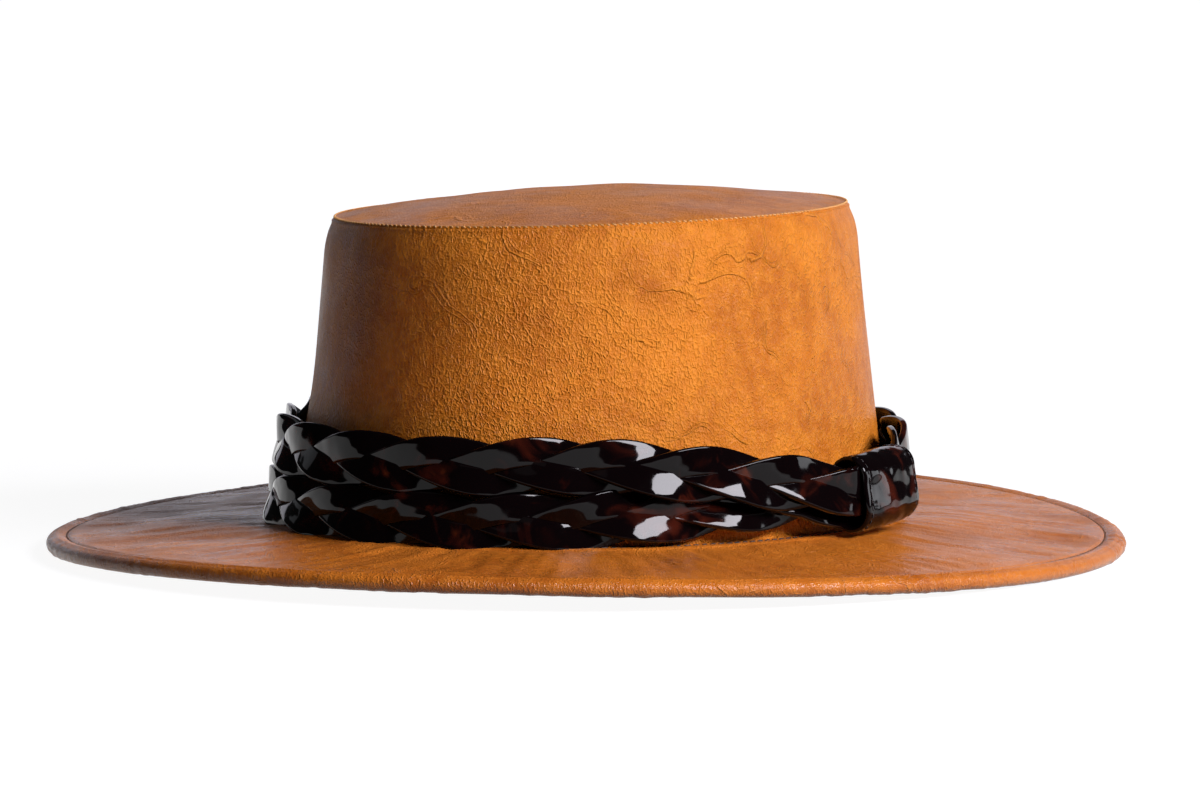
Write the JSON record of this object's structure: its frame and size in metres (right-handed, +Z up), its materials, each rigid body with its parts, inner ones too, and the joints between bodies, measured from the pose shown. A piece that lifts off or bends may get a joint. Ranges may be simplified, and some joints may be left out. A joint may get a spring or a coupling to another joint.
{
  "type": "wide-brimmed hat",
  "caption": "Stiff leather-look hat with a low flat crown, a wide wired brim and a plaited band held by a sleeve.",
  "frame": {"origin": "centre of the plane that the brim's edge rests on, under the middle of the crown", "axes": "+Z up, -Y the front of the hat, +X the wearer's left, where the band's sleeve sits"},
  "size_m": [0.3198, 0.3518, 0.1083],
  "materials": {
    "cognac_leather": "crinkled grain, semi-gloss",
    "under_leather": "crinkled grain, satin",
    "buckram": "stiffened open weave",
    "lining_cloth": "satin weave",
    "tan_thread": "waxed thread",
    "dark_thread": "waxed thread",
    "cotton_tape": "woven tape",
    "sweat_leather": "smooth, satin",
    "reed_plastic": "satin",
    "spring_steel": "drawn wire",
    "tortoiseshell_patent": "high gloss, mottled dark brown",
    "splice_cloth": "woven tab"
  },
  "bodies": {
    "hat": {"crown_side": "cognac_leather", "crown_tip": "cognac_leather", "crown_side_buckram": "buckram", "crown_tip_buckram": "buckram", "crown_side_lining": "lining_cloth", "crown_tip_lining": "lining_cloth", "tip_seam_thread": "tan_thread", "brim_top": "cognac_leather", "brim_board": "buckram", "brim_underside": "under_leather", "brim_wire": "spring_steel", "brim_edge_thread": "tan_thread", "brim_turn_thread": "tan_thread", "brim_seam_thread": "dark_thread", "brim_join_tape": "cotton_tape", "sweatband": "sweat_leather", "sweatband_reed": "reed_plastic", "sweatband_thread": "tan_thread"},
    "band": {"lower_strap_1": "tortoiseshell_patent", "lower_strap_2": "tortoiseshell_patent", "lower_strap_3": "tortoiseshell_patent", "upper_strap_1": "tortoiseshell_patent", "upper_strap_2": "tortoiseshell_patent", "upper_strap_3": "tortoiseshell_patent", "keeper_sleeve": "tortoiseshell_patent", "keeper_thread_front": "dark_thread", "keeper_thread_back": "dark_thread", "band_splice": "splice_cloth"}
  },
  "joints": [
    {"name": "band_lift", "type": "slide", "parent": "hat", "child": "band", "axis": [0, 0, 1], "range_m": [0, 0.13]}
  ]
}
